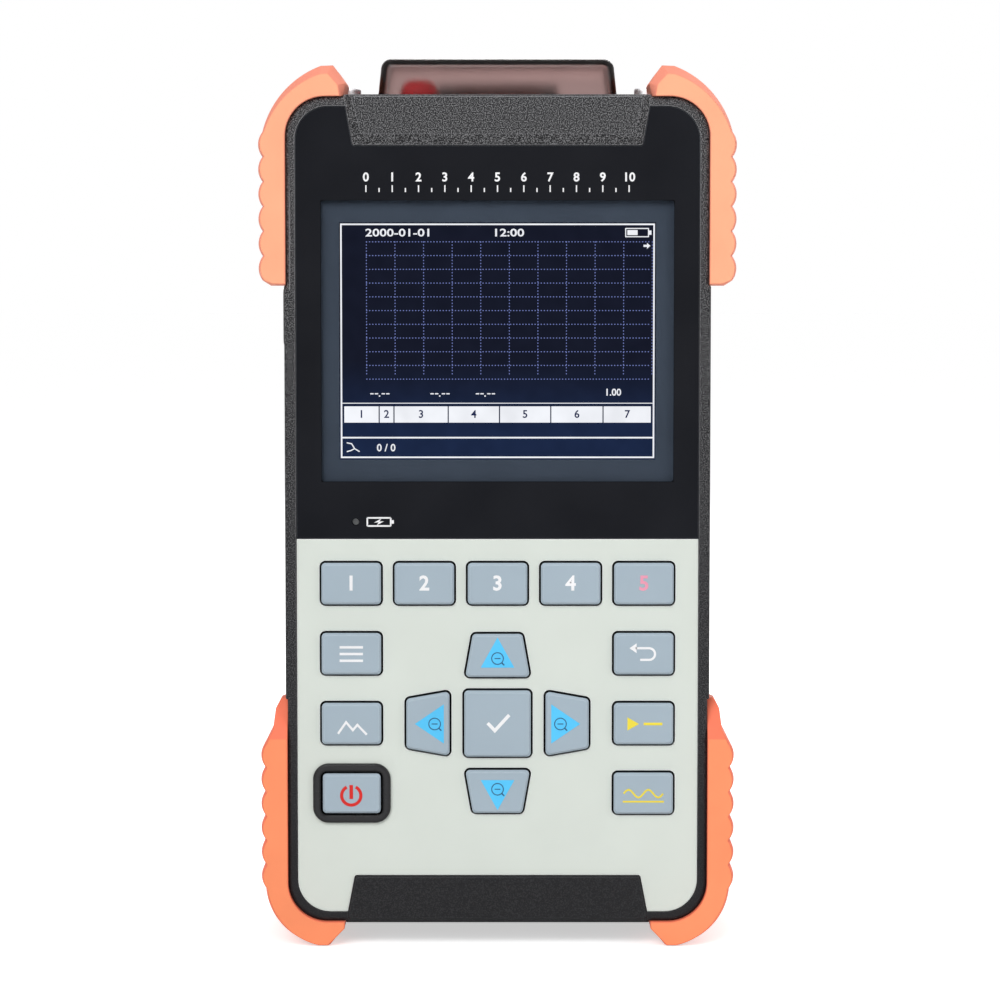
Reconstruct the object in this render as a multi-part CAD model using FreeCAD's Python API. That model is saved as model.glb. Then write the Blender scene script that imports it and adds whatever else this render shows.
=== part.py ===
import FreeCAD, Part
import math
import os

from FreeCAD import Vector

# Handheld fibre test instrument, in millimetres.
# It stands upright on its lower corner guards: X right, Y to the back, Z up, origin on the ground.

# Overall sizes
overall_depth = 46.0
guard_proud = 1.0
shell_width = 94.4
shell_height = 184.3
shell_lift = 5.1
shell_corner_r = 9.2
shell_wall = 2.5
front_edge_r = 0.9
rear_edge_r = 2.0
front_shell_depth = 10.0
gasket_thickness = 0.6
fit_gap = 0.1
loose_gap = 0.3

# Front panel
rim_width = 2.5
panel_corner_r = 7.4
panel_drop = 0.3
panel_thickness = 1.5
ink_thickness = 0.2
front_wall = 2.0
panel_split = 86.2

# Tongues of the front shell
top_tongue_foot_half = 31.9
top_tongue_drop = 11.1
top_tongue_side_bevel = 1.8
top_tongue_foot_bevel = 2.4
top_tongue_lip = 0.5
bottom_tongue_top_half = 31.8
bottom_tongue_rise = 10.7
bottom_tongue_proud = 0.35
tongue_corner_r = 0.6

# Display
window_width = 78.1
window_height = 62.2
window_below_top = 54.3
active_width = 70.1
active_height = 52.5
display_side = 2.0
display_lip = 0.8
display_thickness = 3.8

# Keys
row_pitch = 15.65
first_row_below_split = 9.9
keypad_side_margin = 5.6
key_gap = 3.05
key_height = 9.2
key_corner_r = 0.9
key_hole_gap = 0.45
key_proud = 1.2
key_bevel = 0.45
key_flange = 0.9
key_flange_thickness = 0.8
key_travel = 1.0
plunger_r = 1.6
plunger_length = 0.9
dome_r = 2.0
dome_top_r = 1.2
dome_height = 0.3
ok_key_size = 14.8
arrow_long_side = 14.4
arrow_short_side = 11.0
arrow_side_gap = 3.3
arrow_end_gap = 3.05
arrow_column_gap = 5.6
arrow_row_gap = 6.65
power_key_width = 12.9
power_key_height = 8.9
bezel_ring = 1.75
bezel_corner_r = 3.5
bezel_proud = 0.9
bezel_spigot_step = 0.8
bezel_edge_r = 0.4
led_r = 0.75
led_side_inset = 13.2
led_above_split = 3.8

# Circuit boards and what they carry
board_thickness = 1.6
board_width = 86.0
board_foot_gap = 4.4
board_head_gap = 2.4
board_screw_step = 1.0
board_corner_r = 1.0
board_screw_x = 24.0
board_screw_r = 1.0
board_post_r = 2.4
board_screw_head_r = 1.9
board_screw_head = 1.3
module_width = 56.0
module_height = 52.0
module_depth = 12.0
module_below_board_top = 6.0
module_x = 8.0
buzzer_r = 6.0
buzzer_height = 3.5
buzzer_x = -30.0
buzzer_above_split = 12.7

# Screws that hold the shells together
screw_inset = 7.2
screw_foot_rise = 11.9
screw_above_split = 3.2
screw_head_drop = 14.9
screw_tip_wall = 1.0
screw_shank_r = 1.5
screw_head_r = 2.7
screw_head_height = 1.8
screw_socket_r = 1.25
boss_r = 3.3

# Battery bay, as wide as the housing screws leave room for
bay_rise = 7.9
bay_height = 49.0
bay_depth = 18.0
bay_wall = 1.5
door_thickness = 2.0
door_margin = 3.0
door_head_margin = 6.4
door_corner_r = 3.0
door_screw_x = 26.0
door_screw_r = 1.25
door_screw_head_r = 2.4
door_screw_head = 1.2
door_screw_depth = 4.0
pack_corner_r = 3.0

# Tilt stand
stand_width = 46.0
stand_length = 78.0
stand_pivot_drop = 37.4
stand_thickness = 3.0
stand_pin_r = 1.2
stand_barrel_r = 1.75
stand_well_depth = 3.9
stand_corner_r = 1.0
stand_foot_height = 6.0
stand_rib_depth = 1.2
stand_rib_width = 2.0
stand_ear = 6.0
stand_notch_half = 9.0
stand_notch_drop = 3.2
stand_pin_end = 2.0
stand_floor = 2.0

# Connector plate on the top
plate_half = 37.0
plate_thickness = 2.5
plate_drop = 0.5
plate_front_inset = 5.5
plate_back_inset = 4.5
well_side_inset = 2.0
well_front_inset = 3.0
well_back_inset = 7.0
well_depth = 7.5
well_wall = 1.6
well_floor = 2.0
plate_screw_x = 33.7
plate_screw_r = 1.5
plate_screw_head_r = 2.8
plate_screw_head = 3.3
plate_screw_length = 8.0
plate_shelf_inner = 30.5
plate_shelf_half = 7.0
plate_shelf_height = 9.0
plate_shelf_bite = 0.5

# Fibre ports
port_to_cover = 2.3
ferrule_r = 1.25
port_flange = 12.0
port_flange_thickness = 1.6
port_barrel_r = 4.0
port_barrel_wall = 0.75
port_barrel_height = 6.6
port_key_width = 2.2
port_holder_r = 2.1
port_holder_height = 4.8
meter_holder_height = 3.2
port_body_r = 3.6
port_body_length = 7.0
port_end_wall = 1.0
vfl_barrel_r = 3.5
meter_barrel_r = 5.2
meter_barrel_height = 4.5
meter_flange_r = 5.5
vfl_flange_r = 5.2
cap_wall = 0.7
cap_height = 10.6

# Dust cover and its hinge
cover_width = 53.0
cover_front_inset = 0.5
cover_back_inset = 5.5
cover_height = 7.95
cover_draft = 0.8
cover_wall = 1.4
cover_round = 2.5
hinge_inset = 2.9
hinge_rise = 2.7
hinge_pin_r = 0.9
hinge_knuckle_r = 1.9
hinge_knuckle_half = 10.0
hinge_ear = 3.5
running_gap = 0.05

# Side flap and the sockets behind it
flap_drop = 49.0
flap_height = 12.4
flap_thickness = 2.1
flap_proud = 0.9
flap_from_gasket = 1.4
flap_hinge_inset = 3.6
flap_corner_r = 1.5
flap_pin_r = 0.5
flap_knuckle_r = 1.05
flap_pin_end = 0.6
socket_board_drop = 7.2
socket_end_gap = 1.2
socket_hinge_gap = 1.9
jack_body = 9.0
jack_height = 11.0
jack_depth = 12.0
jack_bore_r = 3.1
jack_bore_depth = 9.0
jack_pin_r = 1.0
jack_plug_hole_r = 4.2
usb_width = 8.0
usb_height = 3.2
usb_wall = 0.4
usb_depth = 6.0
usb_tongue = 0.7
usb_tongue_side = 1.2
usb_back_wall = 1.0
socket_recess = 1.0
socket_board_depth = 14.0
socket_rib = 2.0

# Corner guards
guard_side = 5.6
guard_over_top = 6.4
guard_tip_rise = 2.4
guard_scallop_depth = 0.95
guard_pitch = 5.45
guard_bumps = 6
guard_seat_depth = 0.45
guard_edge_depth = 2.5
guard_top_bevel = 1.9
guard_bottom_bevel = 0.9
guard_lip = 4.0
guard_lip_length = 4.0
guard_rib_depth = 1.1
guard_rib_width = 4.0
guard_rib_setback = 16.0
guard_screw_notch = 4.0
guard_root = 7.0
guard_slope_back = 5.0
guard_back_drop = 4.5
guard_crease_rise = 1.0

# Where the guards end, measured on the right-hand side
guard_end_x = 34.0
upper_guard_reach = 42.0
lower_guard_reach = 50.3
upper_valley_drop = 8.2
lower_valley_rise = 40.5

# Planes and places worked out from the sizes
front_y = -overall_depth / 2
back_y = overall_depth / 2
rim_y = front_y + guard_proud
tail_y = back_y - guard_proud
panel_y = rim_y + panel_drop
panel_back_y = panel_y + panel_thickness
inside_y = panel_back_y + front_wall
parting_y = rim_y + front_shell_depth
rear_front_y = parting_y + gasket_thickness
rear_inside_y = tail_y - shell_wall
shell_half = shell_width / 2
panel_half = shell_half - rim_width
shell_bottom = shell_lift
shell_top = shell_lift + shell_height
core_half = shell_half - guard_seat_depth
core_top = shell_top - guard_seat_depth
core_bottom = shell_bottom + guard_seat_depth
core_corner_r = shell_corner_r - guard_seat_depth
inner_half = core_half - shell_wall
inner_top = core_top - shell_wall
inner_bottom = core_bottom + shell_wall
inner_corner_r = core_corner_r - shell_wall
split_z = shell_bottom + panel_split
screw_x = shell_half - screw_inset
screw_heights = (shell_bottom + screw_foot_rise, split_z + screw_above_split, shell_top - screw_head_drop)
bay_width = 2 * (screw_x - screw_head_r - loose_gap - door_margin)
guard_crest_half = shell_half + guard_side
upper_guard_bottom = shell_top - upper_guard_reach
lower_guard_top = shell_bottom + lower_guard_reach
upper_first_valley = shell_top - upper_valley_drop
lower_first_valley = shell_bottom + lower_valley_rise
window_z = shell_top - window_below_top
flange_front_y = inside_y + loose_gap
flange_back_y = flange_front_y + key_flange_thickness
plunger_y = flange_back_y + plunger_length
membrane_front_y = flange_back_y + key_travel + loose_gap
dome_front_y = plunger_y + key_travel + loose_gap
board_front_y = dome_front_y + dome_height
board_back_y = board_front_y + board_thickness
board_screw_heights = (screw_heights[1] + board_screw_step, screw_heights[2] - board_screw_step)
first_row_z = split_z - first_row_below_split
row_z = [first_row_z - row_pitch * row for row in range(4)]
key_width = (2 * (panel_half - keypad_side_margin) - 4 * key_gap) / 5
column_x = [(key_width + key_gap) * (column - 2) for column in range(5)]
led_x = led_side_inset - panel_half
middle_z = (row_z[1] + row_z[3]) / 2
plate_top = shell_top - plate_drop
plate_bottom = plate_top - plate_thickness
plate_front_y = rim_y + plate_front_inset
plate_back_y = tail_y - plate_back_inset
cover_front_y = plate_front_y + cover_front_inset
cover_back_y = plate_back_y - cover_back_inset
hinge_y = plate_back_y - hinge_inset
well_half = cover_width / 2 - well_side_inset
well_front_y = plate_front_y + well_front_inset
well_back_y = plate_back_y - well_back_inset
well_floor_z = plate_top - well_depth
well_under_z = well_floor_z - well_floor
cap_r = vfl_barrel_r + fit_gap + cap_wall
port_pitch = cover_width / 2 - cover_wall - cover_draft - port_to_cover - cap_r
board_bottom = inner_bottom + board_foot_gap
board_top = well_under_z - board_head_gap
module_top = board_top - module_below_board_top
bay_bottom = shell_bottom + bay_rise
bay_top = bay_bottom + bay_height
stand_pivot_z = shell_top - stand_pivot_drop
well_mid_y = (well_front_y + well_back_y) / 2
cover_bottom = shell_top + loose_gap
cover_top = cover_bottom + cover_height
hinge_z = plate_top + hinge_rise
stand_pivot_y = tail_y - stand_barrel_r - (stand_well_depth - 2 * stand_barrel_r - loose_gap)
stand_well_y = tail_y - stand_well_depth
door_front_y = tail_y - door_thickness
bay_front_y = door_front_y - bay_depth
ground_z = 0.0
flap_z = shell_top - flap_drop
flap_front_y = rear_front_y + flap_from_gasket
flap_hinge_y = tail_y - flap_hinge_inset
flap_hinge_x = -(shell_half + flap_proud - flap_knuckle_r)
socket_board_z = flap_z - socket_board_drop
socket_base_z = socket_board_z + board_thickness
jack_y = flap_hinge_y - socket_hinge_gap - jack_body / 2
usb_y = flap_front_y + socket_end_gap + usb_width / 2
valley_half = guard_crest_half - guard_scallop_depth
guard_lip_from_y = tail_y - guard_lip_length
guard_rib_back_y = tail_y - guard_rib_setback
guard_rib_front_y = guard_rib_back_y - guard_rib_width
tongue_half = guard_end_x - fit_gap


# Small helpers for outlines in the X-Z plane
def block(x0, x1, y0, y1, z0, z1):
    return Part.makeBox(x1 - x0, y1 - y0, z1 - z0, Vector(x0, y0, z0))


def rod_y(radius, x, z, y0, y1):
    return Part.makeCylinder(radius, y1 - y0, Vector(x, y0, z), Vector(0, 1, 0))


def rod_x(radius, y, z, x0, x1):
    return Part.makeCylinder(radius, x1 - x0, Vector(x0, y, z), Vector(1, 0, 0))


def rod_z(radius, x, y, z0, z1):
    return Part.makeCylinder(radius, z1 - z0, Vector(x, y, z0), Vector(0, 0, 1))


def rectangle(half_width, z0, z1, x=0.0):
    return [(x - half_width, z0), (x + half_width, z0), (x + half_width, z1), (x - half_width, z1)]


def grown(corners, distance):
    """The corners of a convex outline after each side moves out by a distance."""
    centre_x = sum(x for x, z in corners) / len(corners)
    centre_z = sum(z for x, z in corners) / len(corners)
    sides = []
    for here, there in zip(corners, corners[1:] + corners[:1]):
        along = Vector(there[0] - here[0], 0, there[1] - here[1]).normalize()
        out = Vector(along.z, 0, -along.x)
        if out.x * (here[0] - centre_x) + out.z * (here[1] - centre_z) < 0:
            out = out * -1
        sides.append((Vector(here[0], 0, here[1]) + out * distance, along))
    moved = []
    for (point_a, along_a), (point_b, along_b) in zip(sides[-1:] + sides[:-1], sides):
        cross = along_a.x * along_b.z - along_a.z * along_b.x
        gap = point_b - point_a
        reach = (gap.x * along_b.z - gap.z * along_b.x) / cross
        moved.append((point_a.x + along_a.x * reach, point_a.z + along_a.z * reach))
    return moved


def rounded_wire(corners, radius, y):
    """A closed wire at depth y whose corners are arcs of one radius."""
    arcs = []
    for i, corner in enumerate(corners):
        here = Vector(corner[0], y, corner[1])
        before = Vector(corners[i - 1][0], y, corners[i - 1][1]) - here
        after_corner = corners[(i + 1) % len(corners)]
        after = Vector(after_corner[0], y, after_corner[1]) - here
        half_angle = before.getAngle(after) / 2
        before.normalize()
        after.normalize()
        middle = (before + after).normalize()
        start = here + before * (radius / math.tan(half_angle))
        end = here + after * (radius / math.tan(half_angle))
        arcs.append((start, here + middle * (radius / math.sin(half_angle) - radius), end))
    edges = []
    for (start, middle, end), following in zip(arcs, arcs[1:] + arcs[:1]):
        edges.append(Part.Arc(start, middle, end).toShape())
        edges.append(Part.makeLine(end, following[0]))
    return Part.Wire(edges)


def slab(corners, radius, y0, y1):
    """A plate with rounded corners between two depths."""
    return Part.Face(rounded_wire(corners, radius, y0)).extrude(Vector(0, y1 - y0, 0))


def tapered(corners, radius, y0, other_corners, other_radius, y1):
    """A plate whose outline changes evenly from one depth to the other."""
    wires = [rounded_wire(corners, radius, y0), rounded_wire(other_corners, other_radius, y1)]
    return Part.makeLoft(wires, True, True)


def traced_wire(start, steps, y):
    """A closed wire at depth y; a step is an end point, or a point on an arc and its end point."""
    edges = []
    here = Vector(start[0], y, start[1])
    for step in steps + [(start,)]:
        end = Vector(step[-1][0], y, step[-1][1])
        if len(step) == 2:
            edges.append(Part.Arc(here, Vector(step[0][0], y, step[0][1]), end).toShape())
        else:
            edges.append(Part.makeLine(here, end))
        here = end
    return Part.Wire(edges)


def rounded_at(shape, y, radius):
    """The shape with the edges that lie in one depth plane rounded."""
    edges = [e for e in shape.Edges if all(abs(v.Y - y) < 0.01 for v in e.Vertexes)]
    return shape.makeFillet(radius, edges)


def mirrored(shape):
    return shape.mirror(Vector(0, 0, 0), Vector(1, 0, 0))


def fuse(shapes):
    return shapes[0].multiFuse(shapes[1:]).removeSplitter()


def save(name, shape):
    shape.exportStep("parts/" + name + ".step")


# The housing's outer form: a core, and raised bands between the guards
def shell_outline(step):
    return rectangle(core_half + step, core_bottom - step, core_top + step)


def housing_form():
    core = slab(shell_outline(0), core_corner_r, rim_y, tail_y)
    band_corner_r = front_edge_r / 3
    sides = rectangle(shell_half, lower_guard_top, upper_guard_bottom)
    side_band = slab(sides, band_corner_r, rim_y, tail_y)
    end_band = slab(rectangle(guard_end_x, shell_bottom, shell_top), band_corner_r, rim_y, tail_y)
    forms = []
    for form in (core, side_band, end_band):
        form = rounded_at(form, rim_y, front_edge_r)
        forms.append(rounded_at(form, tail_y, rear_edge_r))
    return fuse(forms)


# Corner guards, drawn on the right-hand side
def upper_guard_wire(y, bevel):
    """The upper guard's outline; the bevel pulls in the top, the inner end and, less, the side."""
    side = bevel / 4
    top = shell_top + guard_over_top - bevel
    tip = guard_end_x - 0.6 + bevel * 0.9
    low = upper_guard_bottom + bevel * 0.2
    root_x = shell_half - guard_root
    crest = guard_crest_half - side
    valley = valley_half - side
    steps = [
        ((guard_end_x + bevel * 0.4, shell_top),),
        ((tip, shell_top + guard_tip_rise - bevel * 0.2),),
        ((tip + 2.8 - bevel * 0.3, top),),
        ((tip + 5.5 - bevel * 0.9, top - 0.1),),
        ((shell_half - 0.2 - side * 1.4, shell_top + 0.85 - bevel * 0.5), (valley, upper_first_valley)),
    ]
    for bump in range(guard_bumps):
        valley_z = upper_first_valley - guard_pitch * (bump + 1)
        steps.append(((crest, valley_z + guard_pitch / 2), (valley, valley_z)))
    steps += [((valley - 1.8, low),), ((root_x, low),), ((root_x, shell_top - guard_root),)]
    return traced_wire((guard_end_x, shell_top - guard_root), steps, y)


def lower_guard_wire(y, bevel):
    side = bevel / 2
    last_valley = lower_first_valley - guard_pitch * guard_bumps
    foot_z = ground_z + bevel * 0.3
    root_x = shell_half - guard_root
    crest = guard_crest_half - side
    valley = valley_half - side
    steps = [
        ((guard_end_x + 0.2, shell_bottom - 1.1),),
        ((guard_end_x + 3.5 + bevel * 0.4, foot_z),),
        ((guard_end_x + 6.0, foot_z),),
        ((shell_half + 1.5 - side, shell_bottom - 0.1 + side), (valley, last_valley)),
    ]
    for bump in range(guard_bumps):
        valley_z = last_valley + guard_pitch * (bump + 1)
        steps.append(((crest, valley_z - guard_pitch / 2), (valley, valley_z)))
    steps += [
        ((valley_half - 1.8, lower_first_valley + 3.0),),
        ((valley_half - 2.3, lower_guard_top - 2.2),),
        ((shell_half + 1.0, lower_guard_top),),
        ((root_x, lower_guard_top),),
        ((root_x, shell_bottom + guard_root),),
    ]
    return traced_wire((guard_end_x, shell_bottom + guard_root), steps, y)


def guard_body(wire_at, bevel):
    """A guard outline swept from front to back with bevelled front and back edges."""
    wires = [
        wire_at(front_y, bevel),
        wire_at(front_y + guard_edge_depth, 0.0),
        wire_at(back_y - guard_edge_depth, 0.0),
        wire_at(back_y, bevel),
    ]
    return Part.makeLoft(wires, True, True)


def guard_seat():
    """What the guards close round: the housing's sides, its rounded back edge and the bare back."""
    gap = fit_gap / 2
    beyond = overall_depth
    sides = slab(shell_outline(gap), core_corner_r + gap, -beyond, guard_lip_from_y)
    back = slab(shell_outline(gap), core_corner_r + gap, guard_lip_from_y, tail_y + gap)
    back = rounded_at(back, tail_y + gap, rear_edge_r)
    bare = slab(shell_outline(-guard_lip), core_corner_r - guard_lip, tail_y, beyond)
    return fuse([sides, back, bare])


def rib_ring(out, depth, y0, y1):
    """A band around the housing's core, from just outside it to a depth inside."""
    outer = slab(shell_outline(out), core_corner_r + out, y0, y1)
    inner = slab(shell_outline(-depth), core_corner_r - depth, y0, y1)
    return outer.cut(inner)


def guard_zone(wire_at):
    return Part.Face(wire_at(front_y, 0.0)).extrude(Vector(0, overall_depth, 0))


def lower_end_slope():
    """What is cut off the lower guard's top end: it rises from the front, then falls to the back."""
    crease_z = lower_first_valley + guard_crease_rise
    beyond = overall_depth
    slope = Part.makePolygon([
        Vector(0, front_y - beyond, crease_z),
        Vector(0, front_y, crease_z),
        Vector(0, front_y + guard_slope_back, lower_guard_top),
        Vector(0, back_y, lower_guard_top - guard_back_drop),
        Vector(0, back_y, lower_guard_top + beyond),
        Vector(0, front_y - beyond, lower_guard_top + beyond),
        Vector(0, front_y - beyond, crease_z),
    ])
    return Part.Face(slope).extrude(Vector(guard_crest_half + beyond, 0, 0))


def finished_guard(body, zone):
    rib = rib_ring(fit_gap, guard_rib_depth, guard_rib_front_y, guard_rib_back_y)
    rib = rib.common(zone).cut(plate_cutout(loose_gap))
    return body.cut(guard_seat()).fuse(rib).removeSplitter()


def build_guards():
    upper = guard_body(upper_guard_wire, guard_top_bevel)
    notch = block(0, plate_screw_x + guard_screw_notch, -guard_screw_notch, guard_screw_notch,
                  shell_bottom, cover_top)
    upper = finished_guard(upper, guard_zone(upper_guard_wire)).cut(notch)
    slope = lower_end_slope()
    lower = guard_body(lower_guard_wire, guard_bottom_bevel).cut(slope)
    lower = finished_guard(lower, guard_zone(lower_guard_wire).cut(slope))
    save("guard_top_right", upper)
    save("guard_top_left", mirrored(upper))
    save("guard_bottom_right", lower)
    save("guard_bottom_left", mirrored(lower))


def groove_cut():
    """The grooves in the housing that the guards' ribs seat in."""
    depth = guard_rib_depth + fit_gap
    ring = rib_ring(guard_seat_depth * 2, depth, guard_rib_front_y - fit_gap, guard_rib_back_y + fit_gap)
    zones = [guard_zone(upper_guard_wire), guard_zone(lower_guard_wire).cut(lower_end_slope())]
    zones += [mirrored(zone) for zone in zones]
    return ring.common(fuse(zones))


# Key outlines
def power_corners(margin):
    half = power_key_height / 2 + margin
    return rectangle(power_key_width / 2 + margin, row_z[3] - half, row_z[3] + half, column_x[0])


def key_outlines():
    """Each key's name and the corners of its cap."""
    half = key_height / 2
    outlines = {}
    places = [("key_function_%d" % (column + 1), x, row_z[0]) for column, x in enumerate(column_x)]
    places += [
        ("key_menu", column_x[0], row_z[1]),
        ("key_back", column_x[4], row_z[1]),
        ("key_zoom", column_x[0], row_z[2]),
        ("key_real_time", column_x[4], row_z[2]),
        ("key_average", column_x[4], row_z[3]),
    ]
    for name, x, z in places:
        outlines[name] = rectangle(key_width / 2, z - half, z + half, x)
    outlines["key_power"] = power_corners(0)
    half = ok_key_size / 2
    outlines["key_ok"] = rectangle(half, middle_z - half, middle_z + half)
    long_half = arrow_long_side / 2
    short_half = arrow_short_side / 2
    near = half + arrow_side_gap
    far = column_x[4] - key_width / 2 - arrow_column_gap
    rise_near = half + arrow_end_gap
    rise_far = row_z[0] - key_height / 2 - arrow_row_gap - middle_z
    outlines["key_right"] = [
        (near, middle_z - long_half), (far, middle_z - short_half),
        (far, middle_z + short_half), (near, middle_z + long_half)]
    outlines["key_left"] = [
        (-far, middle_z - short_half), (-near, middle_z - long_half),
        (-near, middle_z + long_half), (-far, middle_z + short_half)]
    outlines["key_up"] = [
        (-long_half, middle_z + rise_near), (long_half, middle_z + rise_near),
        (short_half, middle_z + rise_far), (-short_half, middle_z + rise_far)]
    outlines["key_down"] = [
        (-short_half, middle_z - rise_far), (short_half, middle_z - rise_far),
        (long_half, middle_z - rise_near), (-long_half, middle_z - rise_near)]
    return outlines


def centre_of(corners):
    xs = [x for x, z in corners]
    zs = [z for x, z in corners]
    return (min(xs) + max(xs)) / 2, (min(zs) + max(zs)) / 2


def key_hole(corners, y0, y1):
    return slab(grown(corners, key_hole_gap), key_corner_r + key_hole_gap, y0, y1)


def build_keys(outlines):
    face_y = panel_y - key_proud
    for name, corners in outlines.items():
        x, z = centre_of(corners)
        face = grown(corners, -key_bevel)
        top = tapered(face, key_corner_r, face_y, corners, key_corner_r, face_y + key_bevel)
        stem = slab(corners, key_corner_r, face_y + key_bevel, flange_front_y)
        flange = slab(grown(corners, key_flange), key_corner_r, flange_front_y, flange_back_y)
        plunger = rod_y(plunger_r, x, z, flange_back_y, plunger_y)
        save(name, fuse([top, stem, flange, plunger]))


def build_key_works(outlines):
    """The sheet behind the keys, with a hole for each plunger, and the domes in its holes."""
    reach_x = column_x[4] + key_width / 2 + key_flange
    sheet = block(-reach_x, reach_x, membrane_front_y, board_front_y,
                  row_z[3] - key_height / 2 - key_flange, row_z[0] + key_height / 2 + key_flange)
    domes = []
    for corners in outlines.values():
        x, z = centre_of(corners)
        sheet = sheet.cut(rod_y(dome_r + loose_gap, x, z, membrane_front_y, board_front_y))
        crown = Vector(x, dome_front_y, z)
        domes.append(Part.makeCone(dome_top_r, dome_r, dome_height, crown, Vector(0, 1, 0)))
    save("keypad_membrane", sheet)
    save("dome_contacts", Part.makeCompound(domes))


# Front shell and panel
def top_tongue_base(gap):
    foot_z = shell_top - top_tongue_drop
    return [(-top_tongue_foot_half - gap, foot_z - gap), (top_tongue_foot_half + gap, foot_z - gap),
            (tongue_half + gap, shell_top), (-tongue_half - gap, shell_top)]


def bottom_tongue_base(gap):
    head_z = shell_bottom + bottom_tongue_rise
    return [(-tongue_half - gap, shell_bottom), (tongue_half + gap, shell_bottom),
            (bottom_tongue_top_half + gap, head_z + gap), (-bottom_tongue_top_half - gap, head_z + gap)]


def top_tongue():
    base = top_tongue_base(0)
    foot_z = shell_top - top_tongue_drop + top_tongue_foot_bevel
    foot_half = top_tongue_foot_half - top_tongue_side_bevel
    head_half = tongue_half - top_tongue_side_bevel
    plateau = [(-foot_half, foot_z), (foot_half, foot_z),
               (head_half, shell_top - top_tongue_lip), (-head_half, shell_top - top_tongue_lip)]
    stem = slab(base, tongue_corner_r, panel_back_y, rim_y)
    return stem.fuse(tapered(plateau, tongue_corner_r, front_y, base, tongue_corner_r, rim_y))


def bottom_tongue():
    face_y = rim_y - bottom_tongue_proud
    base = bottom_tongue_base(0)
    slant = (tongue_half - bottom_tongue_top_half) / bottom_tongue_rise
    foot_half = tongue_half - slant * front_edge_r
    foot_z = shell_bottom + front_edge_r
    raised = [(-foot_half, foot_z), (foot_half, foot_z), base[2], base[3]]
    stem = slab(raised, tongue_corner_r, rim_y, panel_back_y)
    face = grown(raised, -bottom_tongue_proud)
    return stem.fuse(tapered(face, tongue_corner_r, face_y, raised, tongue_corner_r, rim_y))


def panel_corners(gap):
    half = panel_half - gap
    return rectangle(half, shell_bottom + rim_width + gap, shell_top - rim_width - gap)


def display_size(gap):
    margin = display_side + gap
    half_height = window_height / 2 + margin
    return window_width / 2 + margin, window_z - half_height, window_z + half_height


def boss_places():
    return [(side * screw_x, z) for side in (-1, 1) for z in screw_heights]


def board_screw_places():
    return [(side * board_screw_x, z) for side in (-1, 1) for z in board_screw_heights]


def plate_cutout(gap):
    half = plate_half + gap
    return block(-half, half, plate_front_y - gap, plate_back_y + gap, plate_bottom - gap, cover_bottom)


def build_front_shell(outlines, form):
    shell = form.common(block(-shell_width, shell_width, front_y, parting_y, 0, cover_top))
    cavity = slab(rectangle(inner_half, inner_bottom, inner_top), inner_corner_r, inside_y, parting_y)
    shell = shell.cut(cavity)
    shell = shell.cut(slab(panel_corners(0), panel_corner_r, front_y, panel_back_y))
    shell = fuse([shell, top_tongue(), bottom_tongue()])
    half, low, high = display_size(loose_gap)
    cuts = [block(-half, half, front_y, parting_y, low, high)]
    for corners in outlines.values():
        cuts.append(key_hole(corners, panel_back_y, inside_y))
    cuts.append(rod_y(led_r + fit_gap, led_x, split_z + led_above_split, panel_back_y, inside_y))
    cuts.append(plate_cutout(fit_gap))
    cuts.append(block(-well_half - well_wall - fit_gap, well_half + well_wall + fit_gap,
                      well_front_y - well_wall - fit_gap, parting_y, well_under_z, plate_top))
    shell = shell.cut(Part.makeCompound(cuts))
    posts = [rod_y(boss_r, x, z, inside_y, parting_y) for x, z in boss_places()]
    posts += [rod_y(board_post_r, x, z, inside_y, board_front_y) for x, z in board_screw_places()]
    shell = fuse([shell] + posts)
    bores = [rod_y(screw_shank_r, x, z, inside_y + screw_tip_wall, parting_y) for x, z in boss_places()]
    bores += [rod_y(board_screw_r, x, z, inside_y, board_front_y) for x, z in board_screw_places()]
    save("front_shell", shell.cut(Part.makeCompound(bores)))


def build_panel(outlines):
    """Lens, ink and keypad plate: one rounded panel, split across and notched at the tongues."""
    gap = fit_gap
    halves = shell_width
    upper = block(-halves, halves, front_y, parting_y, split_z + gap / 2, shell_top)
    lower = block(-halves, halves, front_y, parting_y, 0, split_z - gap / 2)
    top_notch = slab(top_tongue_base(gap), tongue_corner_r, front_y, parting_y)
    bottom_notch = slab(bottom_tongue_base(gap), tongue_corner_r, front_y, parting_y)
    ink_y = panel_back_y - ink_thickness
    panel = slab(panel_corners(gap), panel_corner_r - gap, panel_y, ink_y)
    save("screen_lens", panel.common(upper).cut(top_notch))

    window = rectangle(window_width / 2, window_z - window_height / 2, window_z + window_height / 2)
    ink = slab(panel_corners(gap), panel_corner_r - gap, ink_y, panel_back_y).common(upper).cut(top_notch)
    ink = ink.cut(slab(window, tongue_corner_r, ink_y, panel_back_y))
    ink = ink.cut(rod_y(led_r, led_x, split_z + led_above_split, ink_y, panel_back_y))
    save("lens_ink_mask", ink)

    plate = slab(panel_corners(gap), panel_corner_r - gap, panel_y, panel_back_y)
    plate = plate.common(lower).cut(bottom_notch)
    holes = []
    for name, corners in outlines.items():
        if name == "key_power":
            spigot_hole = bezel_corners(-bezel_spigot_step + fit_gap)
            holes.append(slab(spigot_hole, bezel_corner_r - bezel_spigot_step, panel_y, panel_back_y))
        else:
            holes.append(key_hole(corners, panel_y, panel_back_y))
    save("keypad_plate", plate.cut(Part.makeCompound(holes)))


def bezel_corners(step):
    return power_corners(key_hole_gap + bezel_ring + step)


def build_bezel():
    ring = slab(bezel_corners(0), bezel_corner_r, panel_y - bezel_proud, panel_y)
    ring = rounded_at(ring, panel_y - bezel_proud, bezel_edge_r)
    spigot_r = bezel_corner_r - bezel_spigot_step
    spigot = slab(bezel_corners(-bezel_spigot_step), spigot_r, panel_y, panel_back_y)
    hole = slab(bezel_corners(-bezel_ring), key_corner_r + key_hole_gap, front_y, panel_back_y)
    save("power_key_bezel", ring.fuse(spigot).cut(hole))


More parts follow.
